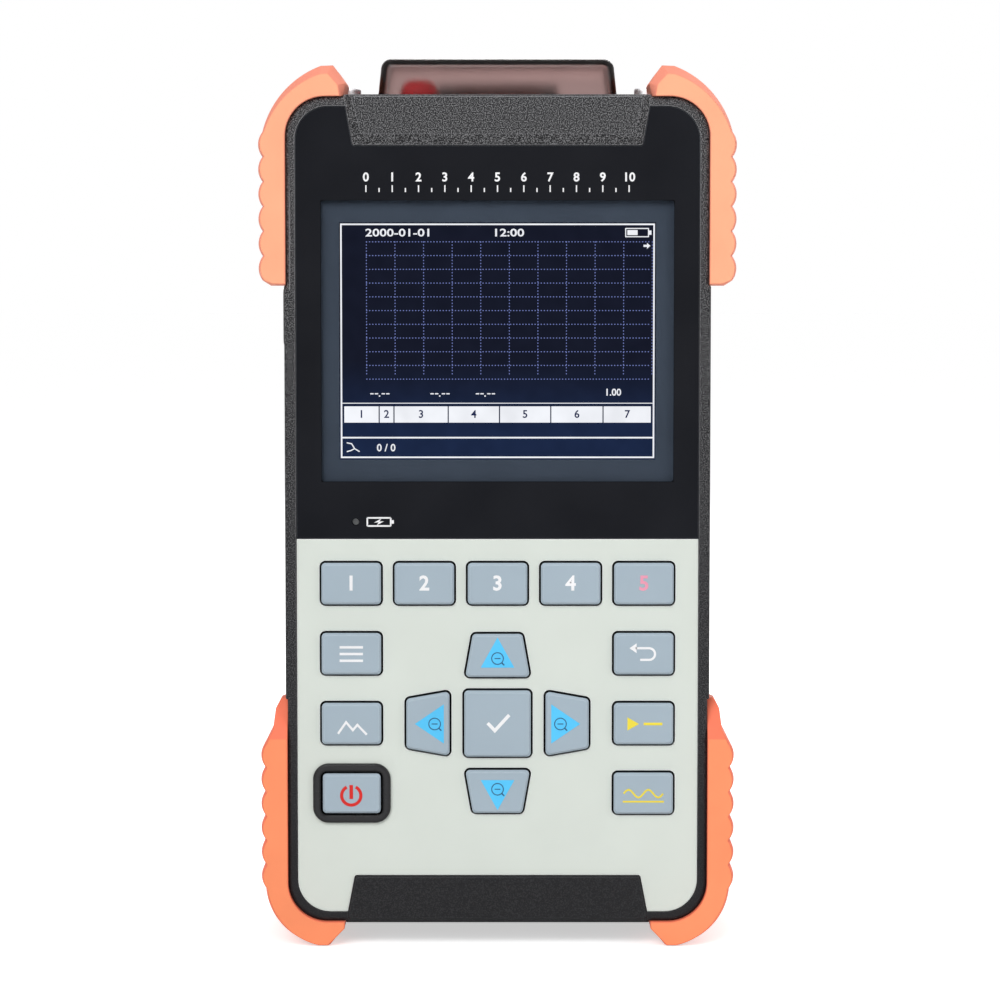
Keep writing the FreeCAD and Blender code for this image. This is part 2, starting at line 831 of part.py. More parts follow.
def build_display():
    half, low, high = display_size(0)
    frame = block(-half, half, panel_back_y + fit_gap / 2, board_front_y, low, high)
    lip_back = panel_back_y + fit_gap / 2 + display_lip
    wall = display_lip
    pocket = block(-half + wall, half - wall, lip_back, board_front_y, low + wall, high - wall)
    view = block(-active_width / 2, active_width / 2, panel_back_y, lip_back,
                 window_z - active_height / 2, window_z + active_height / 2)
    save("lcd_frame", frame.cut(Part.makeCompound([pocket, view])))
    play = wall + fit_gap
    panel_back = lip_back + display_thickness
    save("lcd_panel", block(-half + play, half - play, lip_back, panel_back, low + play, high - play))


def build_led():
    pipe = rod_y(led_r, led_x, split_z + led_above_split, panel_back_y, board_front_y)
    save("charge_led", pipe)


# Rear shell and what it carries
def build_rear_shell(form):
    shell = form.common(block(-shell_width, shell_width, rear_front_y, back_y, 0, cover_top))
    cavity = rectangle(inner_half, inner_bottom, inner_top)
    shell = shell.cut(slab(cavity, inner_corner_r, rear_front_y, rear_inside_y))
    bay_half = bay_width / 2 + bay_wall
    stand_half = stand_width / 2 + loose_gap + stand_ear
    added = [
        block(-bay_half, bay_half, bay_front_y - bay_wall, rear_inside_y,
              bay_bottom - bay_wall, bay_top + bay_wall),
        block(-stand_half, stand_half, stand_well_y - stand_floor, rear_inside_y,
              stand_pivot_z - stand_length - stand_notch_drop - stand_floor, stand_pivot_z + stand_ear),
        block(-core_half, -inner_half + socket_board_depth / 2, flap_front_y + socket_recess,
              flap_hinge_y - socket_hinge_gap, socket_board_z - socket_rib, socket_board_z),
    ]
    for side in (-1, 1):
        x0, x1 = sorted((side * plate_shelf_inner, side * core_half))
        shelf = block(x0, x1, -plate_shelf_half, plate_shelf_half,
                      plate_bottom - plate_shelf_height, plate_bottom + plate_shelf_bite)
        added.append(shelf.common(form))
    added += [rod_y(boss_r, x, z, rear_front_y, rear_inside_y) for x, z in boss_places()]
    shell = fuse([shell] + added)
    shell = shell.cut(Part.makeCompound(rear_cuts()))
    save("rear_shell", shell.cut(groove_cut()))


def rear_cuts():
    cuts = [plate_cutout(fit_gap)]
    reach = well_half + well_wall + fit_gap
    cuts.append(block(-reach, reach, rear_front_y, well_back_y + well_wall + fit_gap,
                      well_under_z, plate_top))
    bay_half = bay_width / 2
    cuts.append(block(-bay_half, bay_half, bay_front_y, door_front_y, bay_bottom, bay_top))
    cuts.append(slab(door_corners(fit_gap), door_corner_r, door_front_y, back_y))
    for x, z in door_screw_places():
        cuts.append(rod_y(door_screw_r, x, z, door_front_y - door_screw_depth, door_front_y))
    cuts += stand_cuts()
    for x, z in boss_places():
        cuts.append(rod_y(screw_shank_r + fit_gap, x, z, rear_front_y, back_y))
        cuts.append(rod_y(screw_head_r + fit_gap, x, z, tail_y - screw_head_height, back_y))
    screw_tip_z = plate_bottom - plate_screw_length
    for side in (-1, 1):
        cuts.append(rod_z(plate_screw_r, side * plate_screw_x, 0, screw_tip_z, plate_bottom))
    cuts += flap_cuts()
    return cuts


def stand_cuts():
    """The well that the folded stand lies in, its finger notch and the pin's seats."""
    half = stand_width / 2 + loose_gap
    foot_z = stand_pivot_z - stand_length
    top_z = stand_pivot_z + stand_barrel_r + loose_gap
    pin_half = stand_width / 2 + stand_ear - stand_pin_end
    well = slab(rectangle(half, foot_z - loose_gap, top_z), stand_corner_r, stand_well_y, back_y)
    notch = slab(rectangle(stand_notch_half, foot_z - stand_notch_drop, foot_z), stand_corner_r,
                 stand_well_y, back_y)
    pin = rod_x(stand_pin_r, stand_pivot_y, stand_pivot_z, -pin_half, pin_half)
    return [well, notch, pin]


def flap_cuts():
    """The recess in the left side for the flap, and the holes to the sockets."""
    floor_x = -(shell_half + flap_proud - flap_thickness) + fit_gap
    low = flap_z - flap_height / 2 - loose_gap
    high = flap_z + flap_height / 2 + loose_gap
    cuts = [block(-shell_width, floor_x, flap_front_y - loose_gap, flap_hinge_y, low, high)]
    hinge_reach = flap_knuckle_r + loose_gap
    cuts.append(rod_z(hinge_reach, flap_hinge_x, flap_hinge_y, low, high))
    cuts.append(block(-shell_width, flap_hinge_x, flap_hinge_y, flap_hinge_y + hinge_reach, low, high))
    low = flap_z - flap_height / 2 - flap_pin_end
    high = flap_z + flap_height / 2 + flap_pin_end
    cuts.append(rod_z(flap_pin_r, flap_hinge_x, flap_hinge_y, low, high))
    jack_z = socket_base_z + jack_height / 2
    cuts.append(rod_x(jack_plug_hole_r, jack_y, jack_z, -shell_half, -inner_half))
    usb_half = usb_width / 2 + fit_gap
    cuts.append(block(-shell_half, -inner_half, usb_y - usb_half, usb_y + usb_half,
                      socket_base_z - fit_gap, socket_base_z + usb_height + fit_gap))
    return cuts


def build_gasket(form):
    ring = form.common(block(-shell_width, shell_width, parting_y, rear_front_y, 0, cover_top))
    hole = slab(rectangle(inner_half, inner_bottom, inner_top), inner_corner_r, parting_y, rear_front_y)
    ring = ring.cut(hole).cut(plate_cutout(fit_gap))
    save("housing_gasket", ring)


def build_housing_screws():
    screws = []
    for x, z in boss_places():
        head = rod_y(screw_head_r, x, z, tail_y - screw_head_height, tail_y - fit_gap)
        socket = rod_y(screw_socket_r, x, z, tail_y - screw_head_height / 2, tail_y)
        shank = rod_y(screw_shank_r, x, z, board_back_y, tail_y - screw_head_height)
        screws.append(head.fuse(shank).cut(socket))
    save("housing_screws", Part.makeCompound(screws))


def build_boards():
    board = block(-board_width / 2, board_width / 2, board_front_y, board_back_y, board_bottom, board_top)
    holes = []
    for x, z in boss_places():
        reach = boss_r + loose_gap
        side = math.copysign(1, x)
        x0, x1 = sorted((x, side * board_width))
        holes.append(rod_y(reach, x, z, board_front_y, board_back_y))
        holes.append(block(x0, x1, board_front_y, board_back_y, z - reach, z + reach))
    for x, z in board_screw_places():
        holes.append(rod_y(board_screw_r + fit_gap, x, z, board_front_y, board_back_y))
    save("main_pcb", board.cut(Part.makeCompound(holes)))

    screws = []
    for x, z in board_screw_places():
        head = rod_y(board_screw_head_r, x, z, board_back_y, board_back_y + board_screw_head)
        screws.append(head.fuse(rod_y(board_screw_r, x, z, inside_y, board_back_y)))
    save("pcb_screws", Part.makeCompound(screws))

    module = rectangle(module_width / 2, module_top - module_height, module_top, module_x)
    save("optical_module", slab(module, board_corner_r, board_back_y, board_back_y + module_depth))

    buzzer_z = split_z + buzzer_above_split
    buzzer = rod_y(buzzer_r, buzzer_x, buzzer_z, board_back_y, board_back_y + buzzer_height)
    sound_hole = rod_y(buzzer_r / 5, buzzer_x, buzzer_z, board_back_y + buzzer_height / 2,
                       board_back_y + buzzer_height)
    save("buzzer", buzzer.cut(sound_hole))


def door_corners(gap):
    half = bay_width / 2 + door_margin + gap
    return rectangle(half, bay_bottom - door_margin - gap, bay_top + door_head_margin + gap)


def door_screw_places():
    return [(side * door_screw_x, bay_top + door_head_margin / 2) for side in (-1, 1)]


def build_battery():
    half = bay_width / 2 - loose_gap
    pack = slab(rectangle(half, bay_bottom + loose_gap, bay_top - loose_gap), pack_corner_r,
                bay_front_y + loose_gap, door_front_y - loose_gap)
    save("battery_pack", pack)
    door = slab(door_corners(0), door_corner_r, door_front_y, tail_y)
    head_y = tail_y - door_screw_head
    screws = []
    for x, z in door_screw_places():
        door = door.cut(rod_y(door_screw_r + fit_gap, x, z, door_front_y, tail_y))
        door = door.cut(rod_y(door_screw_head_r + fit_gap, x, z, head_y, tail_y))
        head = rod_y(door_screw_head_r, x, z, head_y, tail_y - fit_gap)
        screws.append(head.fuse(rod_y(door_screw_r, x, z, door_front_y - door_screw_depth, head_y)))
    save("battery_door", door)
    save("battery_door_screws", Part.makeCompound(screws))


def build_tilt_stand():
    half = stand_width / 2
    foot_z = stand_pivot_z - stand_length
    plate_back = stand_pivot_y + stand_barrel_r
    plate_front = plate_back - stand_thickness
    foot_top = foot_z + stand_foot_height
    edge_r = stand_rib_width / 4
    leg = slab(rectangle(half, foot_top, stand_pivot_z), edge_r, plate_front, plate_back)
    hollow_half = half - stand_rib_width
    hollow_back = plate_front + stand_rib_depth
    hollow_low = foot_top + stand_rib_width
    hollow_high = stand_pivot_z - stand_barrel_r - stand_rib_width
    hollow = block(-hollow_half, hollow_half, plate_front, hollow_back, hollow_low, hollow_high)
    ribs = []
    for x in (-half / 3, half / 3):
        x0 = x - stand_rib_width / 2
        ribs.append(block(x0, x0 + stand_rib_width, plate_front, hollow_back, hollow_low, hollow_high))
    barrel = rod_x(stand_barrel_r, stand_pivot_y, stand_pivot_z, -half, half)
    bore = rod_x(stand_pin_r + running_gap, stand_pivot_y, stand_pivot_z, -half, half)
    save("tilt_stand", fuse([leg.cut(hollow), barrel] + ribs).cut(bore))

    save("tilt_stand_foot", slab(rectangle(half, foot_z, foot_top), edge_r, plate_front, plate_back))
    pin_half = half + stand_ear - stand_pin_end
    save("tilt_stand_pin", rod_x(stand_pin_r, stand_pivot_y, stand_pivot_z, -pin_half, pin_half))


# Connector plate, ports and cover on the top
def build_connector_plate():
    plate = block(-plate_half, plate_half, plate_front_y, plate_back_y, plate_bottom, plate_top)
    tray_half = well_half + well_wall
    tray = block(-tray_half, tray_half, well_front_y - well_wall, well_back_y + well_wall,
                 well_under_z, plate_bottom)
    cuts = [block(-well_half, well_half, well_front_y, well_back_y, well_floor_z, plate_top)]
    for x in port_places():
        cuts.append(rod_z(port_body_r + fit_gap, x, well_mid_y, well_under_z, well_floor_z))
    for side in (-1, 1):
        cuts.append(rod_z(plate_screw_r + fit_gap, side * plate_screw_x, 0, plate_bottom, plate_top))
    ears = []
    ear_x = hinge_knuckle_half + loose_gap
    for side in (-1, 1):
        x0, x1 = sorted((side * ear_x, side * (ear_x + hinge_ear)))
        ears.append(rod_x(hinge_knuckle_r, hinge_y, hinge_z, x0, x1))
        ears.append(block(x0, x1, hinge_y - hinge_knuckle_r, hinge_y + hinge_knuckle_r, plate_top, hinge_z))
        cuts.append(rod_x(hinge_pin_r, hinge_y, hinge_z, x0, x1))
    save("top_connector_plate", fuse([plate, tray] + ears).cut(Part.makeCompound(cuts)))

    screws = []
    for side in (-1, 1):
        x = side * plate_screw_x
        head = rod_z(plate_screw_head_r, x, 0, plate_top, plate_top + plate_screw_head)
        head = head.makeFillet(plate_screw_head_r / 3, [head.Edges[0]])
        screws.append(head.fuse(rod_z(plate_screw_r, x, 0, plate_bottom - plate_screw_length, plate_top)))
    save("top_plate_screws", Part.makeCompound(screws))

    pin_half = ear_x + hinge_ear
    save("dust_cover_hinge_pin", rod_x(hinge_pin_r, hinge_y, hinge_z, -pin_half, pin_half))


def port_places():
    return (-port_pitch, 0.0, port_pitch)


def port_adapter(x, barrel_r, barrel_height, holder_height, flange):
    """A ferrule port: flange, barrel with a ring-shaped well, and the sleeve holder in its middle."""
    base = well_floor_z
    top = base + port_flange_thickness + barrel_height
    solids = [flange, rod_z(barrel_r, x, well_mid_y, base, top),
              rod_z(port_body_r, x, well_mid_y, base - port_body_length, base)]
    well_z = base + port_flange_thickness
    ring = rod_z(barrel_r - port_barrel_wall, x, well_mid_y, well_z, top)
    ring = ring.cut(rod_z(port_holder_r, x, well_mid_y, well_z, well_z + holder_height))
    bore = rod_z(ferrule_r, x, well_mid_y, base - port_body_length + port_end_wall, top)
    return fuse(solids).cut(ring).cut(bore)


def build_ports():
    vfl_x, otdr_x, meter_x = port_places()
    y = well_mid_y
    flange_top = well_floor_z + port_flange_thickness
    half = port_flange / 2
    square = block(otdr_x - half, otdr_x + half, y - half, y + half, well_floor_z, flange_top)
    otdr = port_adapter(otdr_x, port_barrel_r, port_barrel_height, port_holder_height, square)
    slot_half = port_key_width / 2
    slot = block(otdr_x - slot_half, otdr_x + slot_half, y - port_barrel_r, y - port_holder_r,
                 flange_top, flange_top + port_barrel_height)
    save("otdr_port_adapter", otdr.cut(slot))

    disc = rod_z(meter_flange_r, meter_x, y, well_floor_z, flange_top)
    meter = port_adapter(meter_x, meter_barrel_r, meter_barrel_height, meter_holder_height, disc)
    save("power_meter_port", meter)
    disc = rod_z(vfl_flange_r, vfl_x, y, well_floor_z, flange_top)
    vfl = port_adapter(vfl_x, vfl_barrel_r, port_barrel_height, port_holder_height, disc)
    save("vfl_port_adapter", vfl)

    cap_base = flange_top + fit_gap
    cap = rod_z(cap_r, vfl_x, y, cap_base, cap_base + cap_height)
    cap = cap.makeFillet(cap_r * 0.7, [cap.Edges[0]])
    cap = cap.cut(rod_z(vfl_barrel_r + fit_gap, vfl_x, y, cap_base, cap_base + port_barrel_height))
    save("vfl_dust_cap", cap)


def plan_wire(half, y0, y1, radius, z):
    """A rounded rectangle lying flat at a height."""
    wire = rounded_wire([(-half, y0), (half, y0), (half, y1), (-half, y1)], radius, 0)
    wire.rotate(Vector(0, 0, 0), Vector(1, 0, 0), -90)
    wire = wire.mirror(Vector(0, 0, 0), Vector(0, 0, 1))
    wire.translate(Vector(0, 0, z))
    return wire


def cover_block(inset, top_z, round_r):
    """The cover's drafted form, pulled in by an inset and rounded at its top and corners."""
    half = cover_width / 2
    pull = inset + cover_draft
    lower = plan_wire(half - inset, cover_front_y + inset, cover_back_y - inset, round_r, cover_bottom)
    upper = plan_wire(half - pull, cover_front_y + pull, cover_back_y - pull, round_r, top_z)
    form = Part.makeLoft([lower, upper], True, True)
    edges = [e for e in form.Edges if all(abs(v.Z - top_z) < 0.01 for v in e.Vertexes)]
    return form.makeFillet(round_r * 0.9, edges)


def build_dust_cover():
    outer = cover_block(0, cover_top, cover_round)
    inner = cover_block(cover_wall, cover_top - cover_wall, cover_round - cover_wall)
    knuckle = rod_x(hinge_knuckle_r, hinge_y, hinge_z, -hinge_knuckle_half, hinge_knuckle_half)
    arm = block(-hinge_knuckle_half, hinge_knuckle_half, cover_back_y - cover_wall, hinge_y,
                hinge_z - hinge_knuckle_r / 2, hinge_z + hinge_knuckle_r)
    bore = rod_x(hinge_pin_r + running_gap, hinge_y, hinge_z, -hinge_knuckle_half, hinge_knuckle_half)
    cover = fuse([outer.cut(inner), knuckle, arm.cut(inner)]).cut(bore)
    save("dust_cover", cover)


# Sockets and flap on the left side
def build_side_sockets():
    board_x = -inner_half + fit_gap
    board = block(board_x, board_x + socket_board_depth, flap_front_y + socket_recess,
                  flap_hinge_y - socket_hinge_gap, socket_board_z, socket_base_z)
    save("io_board", board)

    jack = block(board_x, board_x + jack_depth, jack_y - jack_body / 2, jack_y + jack_body / 2,
                 socket_base_z, socket_base_z + jack_height)
    jack_z = socket_base_z + jack_height / 2
    bore = rod_x(jack_bore_r, jack_y, jack_z, board_x, board_x + jack_bore_depth)
    pin = rod_x(jack_pin_r, jack_y, jack_z, board_x + socket_recess, board_x + jack_bore_depth)
    save("dc_jack", jack.cut(bore.cut(pin)))

    half = usb_width / 2
    back_x = board_x + usb_depth - usb_back_wall
    top_z = socket_base_z + usb_height
    can = block(board_x, board_x + usb_depth, usb_y - half, usb_y + half, socket_base_z, top_z)
    mouth = block(board_x, back_x, usb_y - half + usb_wall, usb_y + half - usb_wall,
                  socket_base_z + usb_wall, top_z - usb_wall)
    tongue_half = half - usb_tongue_side
    tongue_z = socket_base_z + (usb_height - usb_tongue) / 2
    tongue = block(board_x + socket_recess, back_x, usb_y - tongue_half, usb_y + tongue_half,
                   tongue_z, tongue_z + usb_tongue)
    save("usb_port", can.cut(mouth.cut(tongue)))


def build_flap():
    outer_x = -(shell_half + flap_proud)
    low = flap_z - flap_height / 2
    high = flap_z + flap_height / 2
    plate = block(outer_x, outer_x + flap_thickness, flap_front_y, flap_hinge_y, low, high)
    corners = [e for e in plate.Edges
               if all(abs(v.Y - flap_front_y) < 0.01 for v in e.Vertexes) and e.BoundBox.XLength > 0.1]
    plate = plate.makeFillet(flap_corner_r, corners)
    knuckle = rod_z(flap_knuckle_r, flap_hinge_x, flap_hinge_y, low, high)
    bore = rod_z(flap_pin_r + running_gap, flap_hinge_x, flap_hinge_y, low, high)
    save("side_port_flap", plate.fuse(knuckle).removeSplitter().cut(bore))
    pin = rod_z(flap_pin_r, flap_hinge_x, flap_hinge_y, low - flap_pin_end, high + flap_pin_end)
    save("flap_hinge_pin", pin)


def main():
    os.makedirs("parts", exist_ok=True)
    outlines = key_outlines()
    form = housing_form()
    build_front_shell(outlines, form)
    build_rear_shell(form)
    build_gasket(form)
    build_housing_screws()
    build_panel(outlines)
    build_bezel()
    build_display()
    build_led()
    build_keys(outlines)
    build_key_works(outlines)
    build_boards()
    build_battery()
    build_tilt_stand()
    build_connector_plate()
    build_ports()
    build_dust_cover()
    build_side_sockets()
    build_flap()
    build_guards()


main()
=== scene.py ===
import math

import bmesh
import bpy
from mathutils import Matrix, Vector


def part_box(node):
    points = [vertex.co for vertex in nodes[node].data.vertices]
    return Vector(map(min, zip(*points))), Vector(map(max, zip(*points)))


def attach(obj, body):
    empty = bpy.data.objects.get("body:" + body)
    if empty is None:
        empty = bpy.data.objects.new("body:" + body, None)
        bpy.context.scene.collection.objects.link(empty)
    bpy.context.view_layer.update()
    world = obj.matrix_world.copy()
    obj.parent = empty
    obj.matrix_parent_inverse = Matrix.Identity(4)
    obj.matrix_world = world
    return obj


# Looks of a handheld fibre test instrument.
# Lengths below are in millimetres and become metres where a piece or a lamp is made.
mm = 0.001
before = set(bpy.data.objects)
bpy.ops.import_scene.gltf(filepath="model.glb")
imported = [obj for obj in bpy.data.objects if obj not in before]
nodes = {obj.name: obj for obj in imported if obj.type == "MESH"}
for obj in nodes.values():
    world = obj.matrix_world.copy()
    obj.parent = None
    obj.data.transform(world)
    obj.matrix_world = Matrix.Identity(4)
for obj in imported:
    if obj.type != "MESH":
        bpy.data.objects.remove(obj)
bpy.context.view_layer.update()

# Prints: a figure is that share of its type's size
print_thickness = 0.03
print_hold = 0.01
figure_share = 0.7

# Window, lamp and display
lens_face_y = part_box("screen_lens")[0].y / mm
display_face_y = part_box("lcd_panel")[0].y / mm
plate_face_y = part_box("keypad_plate")[0].y / mm
window_half_width = 39.03
window_half_height = 31.08
window_z = 135.1
lamp_x = -31.5
lamp_z = 95.1
lamp_radius = 0.75
display_left = -35.05
display_top = 161.35
display_width = 70.1
display_height = 52.5
display_columns = 320
display_rows = 240
dot_width = display_width / display_columns
dot_height = display_height / display_rows

# Camera
camera_x = 0.55
camera_target_y = -22.0
camera_target_z = 100.0
camera_distance = 712.0
camera_elevation = 4.0
camera_lens = 115.6
camera_sensor = 36.0

# Light levels, and the places of the lamps
surround = 0.33
sun_strength = 1.18
sun_angle = 40
front_watts = 3.6
side_watts = 2.6
back_watts = 7.0
object_middle = (0, 0, 110)
front_aim = (0, -20, 150)
sun_place = (-500, -1000, 800)
front_place = (-150, -850, 800)
side_place = (900, -600, 500)
back_place = (300, 950, 800)

# Floor
floor_half = 12000
floor_lift = 0.55
floor_spots = 90.0

# Paint: noise runs from low to high over its spots, and the painted edge highlight and shade and the
# painted flank shade fade in as the normal turns
noise_low = 0.3
noise_high = 0.7
uneven_spots = 16.0
dull_spots = 5.0
dull_range = 0.05
edge_starts = 0.998
edge_full = 0.95
flank_shade_starts = -0.99
flank_shade_full = -0.88

# Painted glints on the housing: pale specks that stand in for glints off its grain, sparse at the foot and
# dense at the top as painted light from above
painted_glint_size = 0.25
painted_glint_starts = 0.47
painted_glint_full = 0.64
painted_glints_bottom = 20
painted_glints_top = 180
painted_glints_least = 0.08

# Painted shade in the gaps round the keys: dark skirts that fade in over this depth in front of the keypad
# plate's face
gap_shade_fade = 0.2

# Display glow: navy below the lower height over the display's foot, almost black above the upper one
navy_until = 6
black_from = 22


# Small helpers for materials
def colour(red, green, blue):
    """A screen colour with parts from 0 to 255, as a linear colour."""
    parts = [part / 255 for part in (red, green, blue)]
    return [part / 12.92 if part < 0.04 else ((part + 0.055) / 1.055) ** 2.4 for part in parts] + [1.0]


def shaded(base, amount):
    return [part * amount for part in base[:3]] + [1.0]


def node(tree, kind, inputs, **settings):
    """A shader node; each input is a plain value or another node's output."""
    made = tree.nodes.new("ShaderNode" + kind)
    for setting, value in settings.items():
        setattr(made, setting, value)
    for socket, value in inputs.items():
        if isinstance(value, bpy.types.NodeSocket):
            tree.links.new(value, made.inputs[socket])
        else:
            made.inputs[socket].default_value = value
    return made


def new_material(name):
    material = bpy.data.materials.new(name)
    material.use_nodes = True
    material.node_tree.nodes.clear()
    return material, material.node_tree


def finish_with(tree, shader):
    node(tree, "OutputMaterial", {"Surface": shader})


def calculated(tree, operation, first, second=0.0):
    return node(tree, "Math", {0: first, 1: second}, operation=operation).outputs[0]


def place_along(tree, axis):
    """How far a place lies along an axis of its piece."""
    place = node(tree, "TexCoord", {}).outputs["Object"]
    return node(tree, "SeparateXYZ", {"Vector": place}).outputs[axis]


def noise(tree, size, detail=2.0):
    """Noise with spots about size mm wide."""
    place = node(tree, "TexCoord", {}).outputs["Object"]
    return node(tree, "TexNoise", {"Vector": place, "Scale": 1 / (size * mm), "Detail": detail}).outputs[0]


def spread(tree, value, low, high, to_low, to_high):
    ends = {"Value": value, "From Min": low, "From Max": high, "To Min": to_low, "To Max": to_high}
    return node(tree, "MapRange", ends).outputs[0]


def varied(tree, size, low, high, detail=2.0):
    """A number that drifts between low and high, with spots about size mm wide."""
    return spread(tree, noise(tree, size, detail), noise_low, noise_high, low, high)


def mixed(tree, factor, colour_a, colour_b):
    return node(tree, "Mix", {0: factor, 6: colour_a, 7: colour_b}, data_type="RGBA").outputs[2]


def softened(tree, radius):
    """The normal with edges rounded by a radius in mm, and how much of an edge a place is, from 0 to 1."""
    rounded = node(tree, "Bevel", {"Radius": radius * mm}, samples=6).outputs[0]
    plain = node(tree, "NewGeometry", {}).outputs["Normal"]
    likeness = node(tree, "VectorMath", {0: rounded, 1: plain}, operation="DOT_PRODUCT").outputs["Value"]
    return rounded, spread(tree, likeness, edge_starts, edge_full, 0.0, 1.0)


def grained(tree, size, height, normal):
    """A normal with grain of that size and height in mm."""
    grain = noise(tree, size, detail=3.0)
    inputs = {"Strength": 1.0, "Distance": height * mm, "Height": grain, "Normal": normal}
    return node(tree, "Bump", inputs).outputs[0]


def moulded(name, base, roughness, specular, grain, height, edge=0.25, edge_highlight_and_shade=0.0, edge_highlight_and_shade_colour=None,
            uneven=0.05, flank_shade=None, painted_glints=None, gap_shade=None):
    """Moulded plastic or rubber, slowly uneven and finely grained, with painted highlight and shade on its
    edges.

    Flank shade is painted shade, the colour of faces that turn away from the front. Painted glints make
    pale points that stand in for glints off the grain, denser towards the top as painted light from above,
    and gap shade is the painted shade colour behind the face of the keypad plate.
    """
    material, tree = new_material(name)
    slow = varied(tree, uneven_spots, 0.0, 1.0)
    paint = mixed(tree, slow, shaded(base, 1 - uneven), shaded(base, 1 + uneven))
    # Painted glints: pale points, denser towards the top as painted light from above.
    if painted_glints:
        height_z = place_along(tree, "Z")
        share = spread(tree, height_z, painted_glints_bottom * mm, painted_glints_top * mm, painted_glints_least, 1.0)
        points = spread(tree, noise(tree, painted_glint_size, detail=1.0), painted_glint_starts, painted_glint_full, 0.0, 1.0)
        paint = mixed(tree, calculated(tree, "MULTIPLY", share, points), paint, painted_glints)
    rounded, at_edge = softened(tree, edge)
    # Painted shade: faces that turn away from the front take the flank colour.
    if flank_shade:
        backward = node(tree, "SeparateXYZ", {"Vector": rounded}).outputs["Y"]
        paint = mixed(tree, spread(tree, backward, flank_shade_starts, flank_shade_full, 0.0, 1.0), paint, flank_shade)
    # Painted highlight and shade: edges take the edge colour, lighter than the paint for a highlight,
    # darker for shade.
    if edge_highlight_and_shade:
        edge_highlight_and_shade_amount = spread(tree, at_edge, 0.0, 1.0, 0.0, edge_highlight_and_shade)
        # The painted edge highlight and shade also fade towards the foot, as painted light from above.
        if painted_glints:
            edge_highlight_and_shade_amount = calculated(tree, "MULTIPLY", share, edge_highlight_and_shade_amount)
        paint = mixed(tree, edge_highlight_and_shade_amount, paint, edge_highlight_and_shade_colour)
    # Painted shade: the keys turn dark behind the face of the keypad plate, in the gaps round them.
    if gap_shade:
        depth = place_along(tree, "Y")
        behind = spread(tree, depth, (plate_face_y - gap_shade_fade) * mm, plate_face_y * mm, 0.0, 1.0)
        paint = mixed(tree, behind, paint, gap_shade)
    inputs = {
        "Base Color": paint,
        "Roughness": varied(tree, dull_spots, roughness - dull_range, roughness + dull_range),
        "Specular IOR Level": specular,
        "Normal": grained(tree, grain, height, rounded),
    }
    finish_with(tree, node(tree, "BsdfPrincipled", inputs).outputs[0])
    return material


def metal(name, base, roughness, marks_range=0.06):
    """Turned or plated metal with faint tool marks."""
    material, tree = new_material(name)
    marks = noise(tree, size=0.6, detail=4.0)
    dull = spread(tree, marks, noise_low, noise_high, roughness - marks_range, roughness + marks_range)
    inputs = {
        "Base Color": mixed(tree, marks, shaded(base, 0.85), shaded(base, 1.1)),
        "Metallic": 1.0,
        "Roughness": dull,
        "Normal": grained(tree, size=0.25, height=0.004, normal=softened(tree, radius=0.15)[0]),
    }
    finish_with(tree, node(tree, "BsdfPrincipled", inputs).outputs[0])
    return material


def window_glass(name):
    """Glossy panel that is clear in its window and over its lamp, and black elsewhere."""
    material, tree = new_material(name)
    across = place_along(tree, "X")
    up = place_along(tree, "Z")
    beside = calculated(tree, "ABSOLUTE", across)
    above = calculated(tree, "ABSOLUTE", calculated(tree, "SUBTRACT", up, window_z * mm))
    in_width = calculated(tree, "LESS_THAN", beside, window_half_width * mm)
    in_height = calculated(tree, "LESS_THAN", above, window_half_height * mm)
    in_window = calculated(tree, "MULTIPLY", in_width, in_height)
    flat = node(tree, "CombineXYZ", {"X": across, "Z": up}).outputs[0]
    ends = {0: flat, 1: (lamp_x * mm, 0.0, lamp_z * mm)}
    from_lamp = node(tree, "VectorMath", ends, operation="DISTANCE").outputs["Value"]
    over_lamp = calculated(tree, "LESS_THAN", from_lamp, lamp_radius * mm)
    opening = calculated(tree, "MAXIMUM", in_window, over_lamp)
    rounded, at_edge = softened(tree, radius=0.3)
    slow = varied(tree, 20.0, 0.0, 1.0)
    # The black is dark ink lifted by a painted reflection of the glass's face, since the glass shows gloss
    # only at grazing angles.
    paint = mixed(tree, slow, colour(28, 29, 33), colour(33, 34, 38))
    # Painted highlight: the glass's edges are painted light grey.
    painted_rim_highlight = mixed(tree, at_edge, paint, colour(92, 95, 100))
    black = node(tree, "BsdfDiffuse", {"Color": painted_rim_highlight, "Normal": rounded}).outputs[0]
    clear = node(tree, "BsdfTransparent", {"Color": (0.97, 0.98, 0.98, 1.0)}).outputs[0]
    behind = node(tree, "MixShader", {0: opening, 1: black, 2: clear}).outputs[0]
    smudge = spread(tree, noise(tree, size=22.0, detail=3.0), 0.35, 0.7, 0.03, 0.08)
    gloss = node(tree, "BsdfGlossy", {"Color": (0.6, 0.6, 0.6, 1.0), "Roughness": smudge}).outputs[0]
    outside = spread(tree, node(tree, "NewGeometry", {}).outputs["Backfacing"], 0.0, 1.0, 1.0, 0.0)
    coated = spread(tree, node(tree, "Fresnel", {"IOR": 1.45}).outputs[0], 0.05, 0.8, 0.0, 1.0)
    share = calculated(tree, "MULTIPLY", coated, outside)
    finish_with(tree, node(tree, "MixShader", {0: share, 1: behind, 2: gloss}).outputs[0])
    return material


